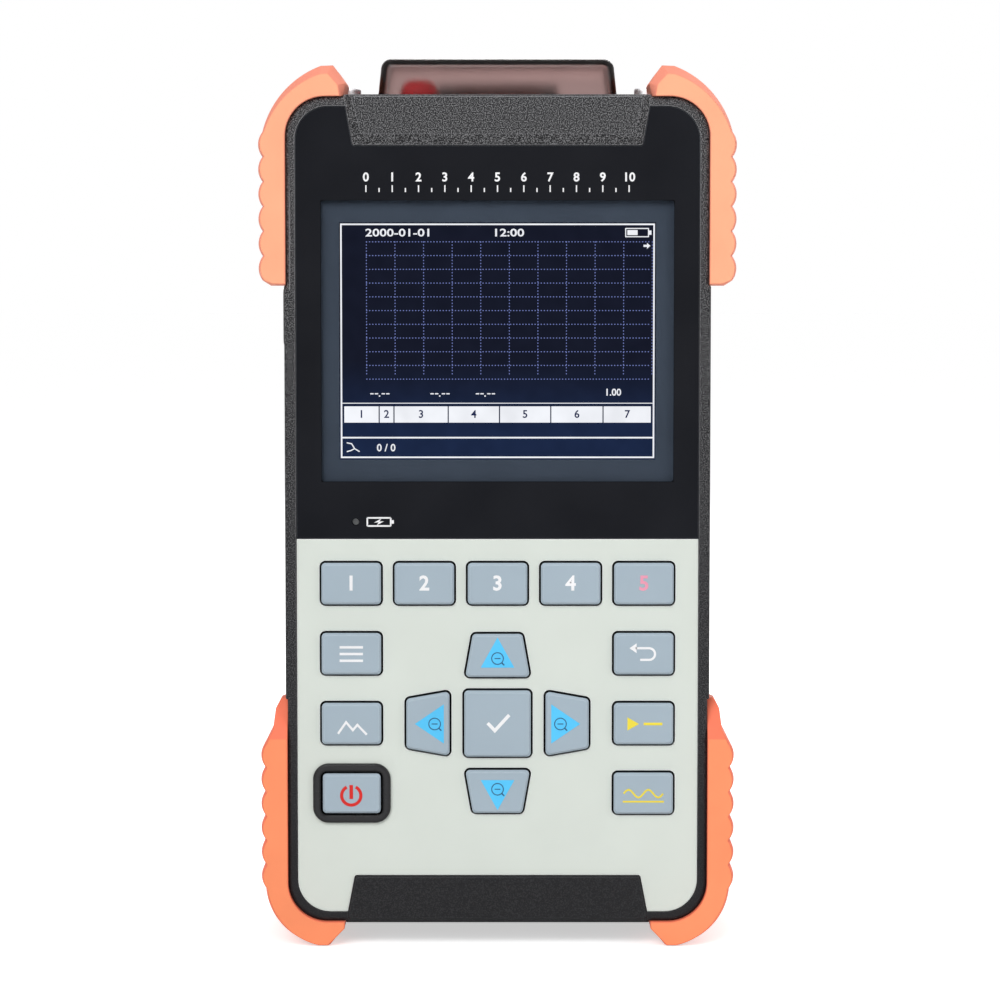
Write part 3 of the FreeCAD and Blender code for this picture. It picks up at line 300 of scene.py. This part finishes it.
def smoked(name):
    """Frosted brown see-through plastic: light brown through a thin wall, black along a wall's length."""
    material, tree = new_material(name)
    surface = grained(tree, size=0.7, height=0.006, normal=softened(tree, radius=0.6)[0])
    haze = varied(tree, 9.0, 0.36, 0.44)
    clear = node(tree, "BsdfTransparent", {"Color": (1.0, 1.0, 1.0, 1.0)}).outputs[0]
    frosted = {"Color": (1.0, 1.0, 1.0, 1.0), "Roughness": haze, "IOR": 1.2}
    frost = node(tree, "BsdfRefraction", frosted).outputs[0]
    body = node(tree, "MixShader", {0: 0.75, 1: clear, 2: frost}).outputs[0]
    gloss = node(tree, "BsdfGlossy", {"Roughness": 0.15, "Normal": surface}).outputs[0]
    bright = spread(tree, node(tree, "Fresnel", {"IOR": 1.4}).outputs[0], 0.0, 1.0, 0.0, 0.6)
    finish_with(tree, node(tree, "MixShader", {0: bright, 1: body, 2: gloss}).outputs[0])
    smoke = node(tree, "VolumeAbsorption", {"Color": (0.30, 0.03, 0.0, 1.0), "Density": 560.0}).outputs[0]
    tree.links.new(smoke, tree.nodes["Material Output"].inputs["Volume"])
    return material


def glowing(name, base):
    """A lit part of the display, faintly uneven."""
    material, tree = new_material(name)
    level = varied(tree, 6.0, 0.94, 1.06)
    finish_with(tree, node(tree, "Emission", {"Color": base, "Strength": level}).outputs[0])
    return material


def display_glow(name):
    """The dark display: almost black above, navy below."""
    material, tree = new_material(name)
    foot = display_top - display_height
    height = place_along(tree, "Z")
    rise = spread(tree, height, (foot + navy_until) * mm, (foot + black_from) * mm, 0.0, 1.0)
    paint = mixed(tree, rise, colour(29, 41, 70), colour(24, 27, 42))
    level = varied(tree, 4.0, 0.92, 1.08, detail=1.0)
    finish_with(tree, node(tree, "Emission", {"Color": paint, "Strength": level}).outputs[0])
    return material


def thin_print(name, base):
    return moulded(name, base, roughness=0.5, specular=0.2, grain=0.5, height=0.002, edge=0.05)


# Materials
# Painted highlight: pale edges, and pale specks as painted glints that grow denser upwards.
charcoal = moulded(
    "charcoal_abs", colour(29, 29, 31), roughness=0.55, specular=0.12, grain=0.4, height=0.02,
    edge_highlight_and_shade=0.6, edge_highlight_and_shade_colour=colour(176, 176, 180), painted_glints=colour(122, 122, 124))
# Painted light: the upper guards are a lit copy of the guard rubber, paler than the lower ones, with
# painted shade on their edges and on flanks turned away from the front.
orange_lit_upper = moulded(
    "orange_rubber_lit_upper", colour(249, 171, 134), roughness=0.62, specular=0.15, grain=0.3, height=0.012,
    edge=0.5, edge_highlight_and_shade=0.3, edge_highlight_and_shade_colour=colour(246, 142, 112), flank_shade=colour(247, 152, 128))
# Painted shade: the lower guards are a shaded copy of the same rubber, with painted shade on their edges
# and flanks.
orange_shaded_lower = moulded(
    "orange_rubber_shaded_lower", colour(247, 145, 102), roughness=0.62, specular=0.15, grain=0.3, height=0.012,
    edge=0.5, edge_highlight_and_shade=0.3, edge_highlight_and_shade_colour=colour(244, 118, 84), flank_shade=colour(245, 124, 94))
# Painted highlight: the panel's edges and key holes are painted near white.
plate_paint = moulded(
    "pale_grey_panel", colour(207, 213, 206), roughness=0.50, specular=0.2, grain=0.35, height=0.006,
    edge=0.3, edge_highlight_and_shade=1.0, edge_highlight_and_shade_colour=colour(250, 252, 250), uneven=0.015)
# Painted highlight on the key edges, and painted shade on the dark skirts in the gaps round the keys.
key_grey = moulded(
    "blue_grey_silicone", colour(158, 173, 184), roughness=0.45, specular=0.2, grain=0.3, height=0.006,
    edge=0.3, edge_highlight_and_shade=0.35, edge_highlight_and_shade_colour=colour(205, 214, 222), uneven=0.02, gap_shade=colour(10, 11, 13))
black_rubber = moulded(
    "black_rubber", colour(26, 26, 27), roughness=0.42, specular=0.25, grain=0.4, height=0.01)
# Painted shade: the ring's edges are painted near black.
ring_rubber = moulded(
    "glossy_black_rubber", colour(41, 41, 43), roughness=0.25, specular=0.2, grain=0.6, height=0.004,
    edge=0.9, edge_highlight_and_shade=1.0, edge_highlight_and_shade_colour=colour(6, 6, 7))
# Painted highlight: edges painted a lighter grey.
black_plastic = moulded(
    "black_plastic", colour(30, 30, 32), roughness=0.5, specular=0.2, grain=0.4, height=0.02,
    edge_highlight_and_shade=0.3, edge_highlight_and_shade_colour=colour(80, 80, 82))
milky_silicone = moulded(
    "milky_silicone", colour(196, 200, 196), roughness=0.6, specular=0.3, grain=0.5, height=0.01)
gasket_rubber = moulded(
    "maroon_gasket", colour(58, 22, 20), roughness=0.6, specular=0.2, grain=0.4, height=0.01)
# Dark ink lifted by a painted reflection of the glass in front of it.
ink_black = moulded(
    "black_ink", colour(27, 28, 31), roughness=0.7, specular=0.0, grain=0.5, height=0.0)
bezel_grey = moulded(
    "display_bezel_grey", colour(63, 70, 82), roughness=0.7, specular=0.0, grain=0.4, height=0.002,
    uneven=0.06)
module_grey = moulded(
    "module_case", colour(120, 124, 128), roughness=0.45, specular=0.4, grain=0.4, height=0.02)
battery_blue = moulded(
    "battery_wrap", colour(36, 62, 98), roughness=0.3, specular=0.45, grain=1.2, height=0.01)
board_green = moulded(
    "circuit_board", colour(22, 74, 46), roughness=0.35, specular=0.45, grain=0.8, height=0.02, edge=0.1)
cap_red = moulded(
    "red_cap", colour(228, 26, 44), roughness=0.4, specular=0.4, grain=0.5, height=0.01)
lamp_clear = moulded(
    "lamp_body", colour(190, 190, 192), roughness=0.25, specular=0.5, grain=0.8, height=0.005)
steel = metal("zinc_steel", colour(196, 196, 198), roughness=0.30)
bright_zinc = metal("bright_zinc", colour(248, 248, 250), roughness=0.5)
nickel = metal("nickel_plate", colour(226, 225, 222), roughness=0.38)
lens_glass = window_glass("window_glass")
cover_smoked = smoked("smoked_cover")
display_dark = display_glow("display_dark")
display_white = glowing("display_white", colour(246, 246, 252))
display_blue = glowing("display_grid", colour(120, 132, 196))
display_marks = glowing("display_marks", colour(30, 40, 80))
white_print = thin_print("white_print", colour(232, 232, 234))
yellow_print = thin_print("yellow_print", colour(228, 210, 70))
blue_print = thin_print("light_blue_print", colour(86, 192, 240))
pink_print = thin_print("pink_print", colour(226, 150, 172))
red_print = thin_print("red_print", colour(205, 42, 38))
dark_print = thin_print("dark_print", colour(52, 92, 128))

finishes = {
    "shell": charcoal,
    "gasket": gasket_rubber,
    "steel": steel,
    "lens": lens_glass,
    "ink": ink_black,
    "plate": plate_paint,
    "key": key_grey,
    "silicone": milky_silicone,
    "black_rubber": black_rubber,
    "led": lamp_clear,
    "display_frame": bezel_grey,
    "display": display_dark,
    "circuit_board": board_green,
    "module_case": module_grey,
    "battery": battery_blue,
    "black_plastic": black_plastic,
    "guard": orange_shaded_lower,
    "smoked_plastic": cover_smoked,
    "nickel": nickel,
    "red_plastic": cap_red,
}
own_finishes = {
    "power_key_bezel": ring_rubber,
    "top_plate_screws": bright_zinc,
    "guard_top_left": orange_lit_upper,
    "guard_top_right": orange_lit_upper,
}
for part_name, part in nodes.items():
    for place in part.material_slots:
        place.material = own_finishes.get(part_name, finishes[place.material.name])


# Small helpers for flat outlines of (x, z) points in mm
def bar(x0, z0, x1, z1):
    return [(x0, z0), (x1, z0), (x1, z1), (x0, z1)]


def arc(x, z, radius, start, end, steps=16):
    angles = [math.radians(start + (end - start) * step / steps) for step in range(steps + 1)]
    return [(x + radius * math.cos(angle), z + radius * math.sin(angle)) for angle in angles]


def stroke(points, width):
    """The outline of a line of even width through the points."""
    corners = [Vector(point) for point in points]
    runs = [(there - here).normalized() for here, there in zip(corners, corners[1:])]
    left = []
    right = []
    for here, run_in, run_out in zip(corners, runs[:1] + runs, runs + runs[-1:]):
        middle = (run_in + run_out).normalized()
        across = Vector((-middle.y, middle.x)) * (width / 2 / middle.dot(run_out))
        left.append(tuple(here + across))
        right.append(tuple(here - across))
    return left + right[::-1]


def ring(x, z, radius, width):
    return [stroke(arc(x, z, radius, 0, 180), width), stroke(arc(x, z, radius, 180, 360), width)]


def placed(outlines, x, z):
    return [[(x + point_x, z + point_z) for point_x, point_z in outline] for outline in outlines]


def turned(outlines, quarter_turns):
    """The outlines turned anticlockwise about the origin."""
    for _ in range(quarter_turns):
        outlines = [[(-point_z, point_x) for point_x, point_z in outline] for outline in outlines]
    return outlines


def add_piece(name, mesh, material, body):
    mesh.materials.append(material)
    piece = bpy.data.objects.new(name, mesh)
    bpy.context.collection.objects.link(piece)
    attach(piece, body)


def flat_piece(name, outlines, surface_y, material, body="housing", outward=-1):
    """A thin print that stands on a surface at surface_y, towards -Y or with outward=1 towards +Y."""
    front = (surface_y + outward * print_thickness) * mm
    back = (surface_y - outward * print_hold) * mm
    form = bmesh.new()
    for outline in outlines:
        near = [form.verts.new((x * mm, front, z * mm)) for x, z in outline]
        far = [form.verts.new((x * mm, back, z * mm)) for x, z in outline]
        form.faces.new(near)
        form.faces.new(far[::-1])
        for i in range(len(outline)):
            form.faces.new((near[i - 1], near[i], far[i], far[i - 1]))
    bmesh.ops.recalc_face_normals(form, faces=form.faces[:])
    mesh = bpy.data.meshes.new(name)
    form.to_mesh(mesh)
    form.free()
    add_piece(name, mesh, material, body)


def figures(name, text, x, z, height, surface_y, material, body="housing", bold=0.04, wide=1.0):
    """Plain numbers or signs as a thin print, centred on (x, z) and widened by a share."""
    curve = bpy.data.curves.new(name, "FONT")
    curve.body = text
    curve.size = height * mm / figure_share
    curve.offset = bold * mm
    curve.align_x = "CENTER"
    curve.align_y = "CENTER"
    curve.extrude = (print_thickness + print_hold) / 2 * mm
    curve.resolution_u = 3
    holder = bpy.data.objects.new(name + "_outline", curve)
    mesh = bpy.data.meshes.new_from_object(holder)
    mesh.transform(Matrix.Diagonal((wide, 1.0, 1.0, 1.0)))
    middle_y = surface_y + (print_hold - print_thickness) / 2
    upright = Matrix.Rotation(math.pi / 2, 4, "X")
    mesh.transform(Matrix.Translation((x * mm, middle_y * mm, z * mm)) @ upright)
    mesh.name = name
    bpy.data.objects.remove(holder)
    add_piece(name, mesh, material, body)


# Display content: columns and rows below are counted in the display's own dots
def dot_x(column):
    return display_left + column * dot_width


def dot_z(row):
    return display_top - row * dot_height


def dots(column0, row0, column1, row1):
    return bar(dot_x(column0), dot_z(row1), dot_x(column1), dot_z(row0))


def dot_points(*places):
    return [(dot_x(column), dot_z(row)) for column, row in places]


frame_lines = [
    dots(1, 1, 319, 2.6),
    dots(1, 237, 319, 238.6),
    dots(1, 2.6, 2.6, 237),
    dots(317.4, 2.6, 319, 237),
    dots(2.6, 182.4, 317.4, 183.2),
    dots(2.6, 217, 317.4, 218.6),
]
flat_piece("display_frame_lines", frame_lines, display_face_y, display_white)

grid_left = 27
grid_top = 19
grid_column = 28.9
grid_row = 13.89
grid_lines = 11
grid_pitch = 3.1
grid_dash = 1.2
grid_line = 0.9
grid_dots = []
for line in range(grid_lines):
    row = grid_top + line * grid_row
    column = grid_left + line * grid_column
    for step in range(int(grid_column * (grid_lines - 1) / grid_pitch)):
        along = grid_left + step * grid_pitch
        grid_dots.append(dots(along, row, along + grid_dash, row + grid_line))
    for step in range(int(grid_row * (grid_lines - 1) / grid_pitch)):
        down = grid_top + step * grid_pitch
        grid_dots.append(dots(column, down, column + grid_line, down + grid_dash))
flat_piece("display_grid", grid_dots, display_face_y, display_blue)

header_ends = (4, 40, 55, 110, 162, 214, 267, 316)
header_top = 186
header_bottom = 202.5
header_middle = 194.2
header_gap = 0.6
header_figure = 1.7
header_cells = []
for number, (left, right) in enumerate(zip(header_ends, header_ends[1:]), 1):
    header_cells.append(dots(left + header_gap, header_top, right - header_gap, header_bottom))
flat_piece("display_header_cells", header_cells, display_face_y, display_white)
for number, (left, right) in enumerate(zip(header_ends, header_ends[1:]), 1):
    figures("display_header_%d" % number, str(number), dot_x((left + right) / 2), dot_z(header_middle),
            header_figure, display_face_y - print_thickness, display_marks)


def display_text(name, text, column, row, height, wide=1.0):
    figures("display_" + name, text, dot_x(column), dot_z(row), height, display_face_y, display_white,
            wide=wide)


display_text("date", "2000-01-01", 60, 10.6, height=1.66, wide=1.34)
display_text("time", "12:00", 171, 10.6, height=1.66, wide=1.34)
display_text("scale", "1.00", 277, 172, height=1.5)

battery_sign = [
    dots(289, 5.5, 313, 6.5),
    dots(289, 13.8, 313, 14.8),
    dots(289, 6.5, 290, 13.8),
    dots(312, 6.5, 313, 13.8),
    dots(313, 8, 315.5, 12.4),
    dots(291.2, 7.6, 301.5, 12.7),
]
arrow_sign = [
    dots(307.5, 22.4, 311, 24.6),
    dot_points((311, 20.5), (314.5, 23.5), (311, 26.5)),
]
reading_dashes = []
for start in (31, 92, 138):
    for step in (0, 4.6, 11.5, 16.1):
        reading_dashes.append(dots(start + step, 172.6, start + step + 3.4, 173.8))
    reading_dashes.append(dots(start + 8.7, 174.8, start + 10.1, 176.2))
foot_line = 0.25
foot_sign = [
    stroke(dot_points((7, 223), (12, 224), (15, 229), (20, 232)), foot_line),
    stroke(dot_points((7, 232), (11, 231), (15, 229)), foot_line),
]
small_signs = battery_sign + arrow_sign + reading_dashes + foot_sign
flat_piece("display_signs", small_signs, display_face_y, display_white)
display_text("count", "0 / 0", 47, 228.4, height=1.6)

# Prints on the window: a plain numbered scale and a battery sign
scale_z = 169.9
scale_half = 29.0
scale_steps = 10
mark_foot_z = scale_z - 1.9
mark_half_width = 0.14
short_mark = 0.9
long_mark = 1.5
scale_figure_z = scale_z + 1.3
scale_figure = 1.9
scale_marks = []
for step in range(scale_steps * 2 + 1):
    x = -scale_half + step * scale_half / scale_steps
    length = short_mark if step % 2 else long_mark
    scale_marks.append(bar(x - mark_half_width, mark_foot_z, x + mark_half_width, mark_foot_z + length))
flat_piece("window_scale_marks", scale_marks, lens_face_y, white_print)
for step in range(scale_steps + 1):
    x = -scale_half + step * 2 * scale_half / scale_steps
    figures("window_scale_%d" % step, str(step), x, scale_figure_z, scale_figure, lens_face_y,
            white_print, bold=0.07)

lamp_sign_line = 0.35
lamp_sign_from_lamp = 2.6
lamp_sign = [
    stroke([(0, -0.9), (0, 0.9)], lamp_sign_line),
    stroke([(0, 0.9), (5.2, 0.9)], lamp_sign_line),
    stroke([(5.2, 0.9), (5.2, -0.9)], lamp_sign_line),
    stroke([(5.2, -0.9), (0, -0.9)], lamp_sign_line),
    bar(5.4, -0.4, 5.9, 0.4),
    [(3.1, 0.75), (1.5, -0.15), (2.5, -0.1), (2.1, -0.75), (3.7, 0.15), (2.7, 0.1)],
]
lamp_sign_placed = placed(lamp_sign, lamp_x + lamp_sign_from_lamp, lamp_z)
flat_piece("window_battery_sign", lamp_sign_placed, lens_face_y, white_print)


# Signs on the keys, drawn in mm about each key's middle
def key_place(name):
    low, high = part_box(name)
    return (low.x + high.x) / 2 / mm, (low.z + high.z) / 2 / mm, low.y / mm


def key_sign(key, outlines, material, layer=0):
    x, z, face_y = key_place(key)
    name = "%s_sign_%d" % (key, layer)
    flat_piece(name, placed(outlines, x, z), face_y - layer * print_thickness, material, key)


key_figure = 3.2
function_prints = (white_print, white_print, white_print, white_print, pink_print)
for number, function_print in enumerate(function_prints, 1):
    key = "key_function_%d" % number
    x, z, face_y = key_place(key)
    figures(key + "_sign", str(number), x, z, key_figure, face_y, function_print, key, bold=0.12)

menu_sign = [bar(-2.6, height - 0.28, 2.6, height + 0.28) for height in (-1.5, 0, 1.5)]
back_sign = [
    stroke([(-1.8, 1.3)] + arc(1.2, 0, 1.3, 90, -90, 10) + [(-0.8, -1.3)], 0.5),
    [(-1.6, 2.4), (-3.2, 1.3), (-1.6, 0.2)],
]
zoom_sign = [stroke([(-3.0, -2.2), (-1.2, 0.4), (0.3, -1.4), (1.3, -0.2), (3.4, -2.4)], 0.5)]
run_sign = [[(-3.6, 1.5), (-3.6, -1.5), (-1.0, 0)], bar(0.0, -0.3, 4.2, 0.3)]
average_sign = [
    stroke([(-4.4 + step * 0.55, 0.9 * math.sin(step * math.pi / 4)) for step in range(17)], 0.4),
    bar(-4.6, -2.0, 4.6, -1.6),
]
ok_sign = [stroke([(-2.2, 0.2), (-0.6, -1.5), (2.6, 2.0)], 0.75)]
key_sign("key_menu", menu_sign, white_print)
key_sign("key_back", back_sign, white_print)
key_sign("key_zoom", zoom_sign, white_print)
key_sign("key_real_time", run_sign, yellow_print)
key_sign("key_average", average_sign, yellow_print)
key_sign("key_ok", ok_sign, white_print)

# Power sign: a ring open at the top with a bar in it
power_sign = [stroke(arc(-0.1, -0.42, 2.15, 118, 422, 24), 0.7), bar(-0.5, -1.2, 0.3, 1.95)]
key_sign("key_power", power_sign, red_print)

# Arrow keys: a light blue triangle that points outwards with a small magnifier on it
triangle_across = [[(-2.9, 0), (3.55, 4.4), (3.55, -4.4)]]
triangle_along = [[(-4.1, 0), (2.65, 3.75), (2.65, -3.75)]]
arrow_keys = (
    ("key_left", 0, triangle_across, -1.5),
    ("key_down", 1, triangle_along, -0.6),
    ("key_right", 2, triangle_across, -1.5),
    ("key_up", 3, triangle_along, -0.6),
)
for key, quarter_turns, triangle, inward in arrow_keys:
    key_sign(key, turned(triangle, quarter_turns), blue_print)
    away = Vector((-1, 0))
    away.rotate(Matrix.Rotation(math.pi / 2 * quarter_turns, 2))
    glass_x, glass_z = away * inward
    glass_sign = ring(glass_x, glass_z, 1.3, 0.22)
    glass_sign.append(bar(glass_x - 0.65, glass_z - 0.11, glass_x + 0.65, glass_z + 0.11))
    glass_sign.append(stroke([(glass_x + 0.95, glass_z - 0.95), (glass_x + 1.5, glass_z - 1.5)], 0.3))
    key_sign(key, glass_sign, dark_print, 1)

# Painted shade of the cross recesses in the heads of the battery door's screws: a flat dark cross on each
# head
recess_low, recess_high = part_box("battery_door_screws")
recess_z = (recess_low.z + recess_high.z) / 2 / mm
recess_x = (recess_high.x - (recess_high.z - recess_low.z) / 2) / mm
arm = 1.3
half = 0.25
recess_shade_cross = [bar(-arm, -half, arm, half), bar(-half, half, half, arm), bar(-half, -arm, half, -half)]
for side, recess_name in ((-1, "left"), (1, "right")):
    cross = placed(recess_shade_cross, side * recess_x, recess_z)
    name = "door_screw_recess_shade_" + recess_name
    flat_piece(name, cross, recess_high.y / mm, black_plastic, outward=1)


# Floor, light and camera
def seen_rays(tree):
    """One for rays from the camera, mirrors and glass, nought for the rest."""
    rays = node(tree, "LightPath", {}).outputs
    direct = calculated(tree, "ADD", rays["Is Camera Ray"], rays["Is Glossy Ray"])
    inputs = {0: direct, 1: rays["Is Transmission Ray"]}
    return node(tree, "Math", inputs, operation="ADD", use_clamp=True).outputs[0]


def make_floor():
    material, tree = new_material("pale_floor")
    paper = mixed(tree, noise(tree, floor_spots), (0.84, 0.84, 0.84, 1.0), (0.86, 0.86, 0.86, 1.0))
    cloth = node(tree, "BsdfDiffuse", {"Color": paper})
    lift = calculated(tree, "MULTIPLY", seen_rays(tree), floor_lift)
    glow = node(tree, "Emission", {"Color": (1.0, 1.0, 1.0, 1.0), "Strength": lift})
    finish_with(tree, node(tree, "AddShader", {0: cloth.outputs[0], 1: glow.outputs[0]}).outputs[0])
    reach = floor_half * mm
    corners = [(-reach, -reach, 0), (reach, -reach, 0), (reach, reach, 0), (-reach, reach, 0)]
    mesh = bpy.data.meshes.new("floor")
    mesh.from_pydata(corners, [], [(0, 1, 2, 3)])
    mesh.materials.append(material)
    floor = bpy.data.objects.new("floor", mesh)
    bpy.context.collection.objects.link(floor)


def make_world():
    world = bpy.data.worlds.new("surround")
    bpy.context.scene.world = world
    world.use_nodes = True
    tree = world.node_tree
    tree.nodes.clear()
    level = spread(tree, seen_rays(tree), 0.0, 1.0, surround, 1.0)
    sky = node(tree, "Background", {"Color": (1.0, 1.0, 1.0, 1.0), "Strength": level})
    node(tree, "OutputWorld", {"Surface": sky.outputs[0]})


def make_lamp(name, kind, place, aim, **settings):
    light = bpy.data.lights.new(name, kind)
    for setting, value in settings.items():
        setattr(light, setting, value)
    lamp = bpy.data.objects.new(name, light)
    bpy.context.collection.objects.link(lamp)
    lamp.location = Vector(place) * mm
    lamp.rotation_euler = (Vector(aim) - Vector(place)).to_track_quat("-Z", "Y").to_euler()


def make_camera():
    data = bpy.data.cameras.new("camera")
    data.lens = camera_lens
    data.sensor_width = camera_sensor
    camera = bpy.data.objects.new("camera", data)
    bpy.context.collection.objects.link(camera)
    tilt = math.radians(camera_elevation)
    away = Vector((0, -math.cos(tilt), math.sin(tilt))) * camera_distance
    camera.location = (Vector((camera_x, camera_target_y, camera_target_z)) + away) * mm
    camera.rotation_euler = (math.pi / 2 - tilt, 0, 0)
    bpy.context.scene.camera = camera


make_floor()
make_world()
make_lamp("sun", "SUN", sun_place, object_middle, energy=sun_strength, angle=math.radians(sun_angle))
make_lamp("front_lamp", "AREA", front_place, front_aim, energy=front_watts, size=0.5)
make_lamp("side_lamp", "AREA", side_place, object_middle, energy=side_watts, size=0.6)
make_lamp("back_lamp", "AREA", back_place, object_middle, energy=back_watts, size=0.8)
make_camera()
bpy.context.scene.view_settings.view_transform = "Standard"
